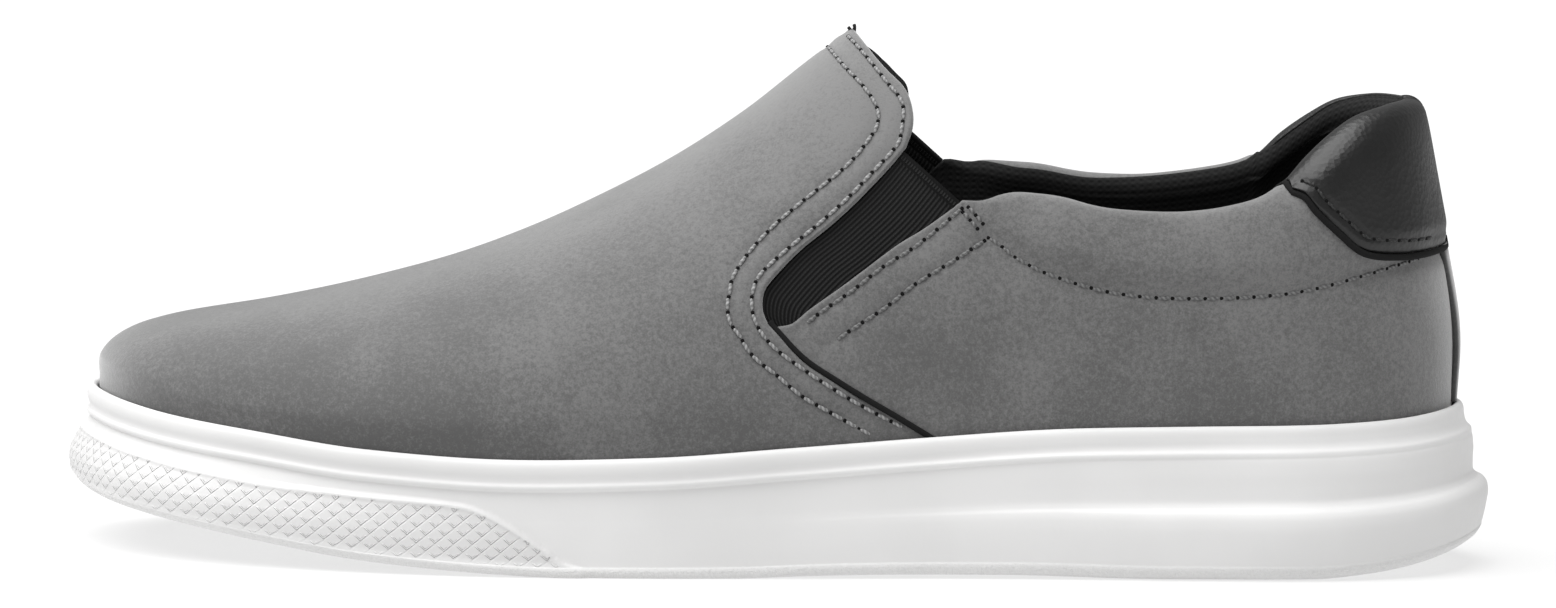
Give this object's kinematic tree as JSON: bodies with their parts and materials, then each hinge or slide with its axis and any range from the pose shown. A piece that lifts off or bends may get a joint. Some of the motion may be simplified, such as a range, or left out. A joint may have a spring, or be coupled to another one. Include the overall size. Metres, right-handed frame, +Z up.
{
  "type": "casual sneaker",
  "caption": "Laceless low casual sneaker, left foot: hollow leather upper with elastic gores and padded collar on a rubber cupsole.",
  "frame": {"origin": "on the floor, under the middle of the shoe's box", "axes": "+X from the toe to the heel, +Y towards the inner side of the foot, +Z up"},
  "size_m": [0.2976, 0.1056, 0.1092],
  "materials": {
    "nubuck": "brushed grey leather",
    "nubuck_dark": "rough darker grey leather",
    "smooth_leather": "smooth black leather, satin",
    "elastic": "black ribbed elastic",
    "lining": "black padded mesh lining",
    "thread": "grey waxed thread",
    "sole_rubber": "white moulded rubber, matt satin"
  },
  "bodies": {
    "root": {"upper": "nubuck", "gore_lateral": "elastic", "gore_medial": "elastic", "heel_tab": "smooth_leather", "back_seam_strip": "nubuck_dark", "insole": "lining", "cupsole": "sole_rubber"}
  },
  "joints": []
}
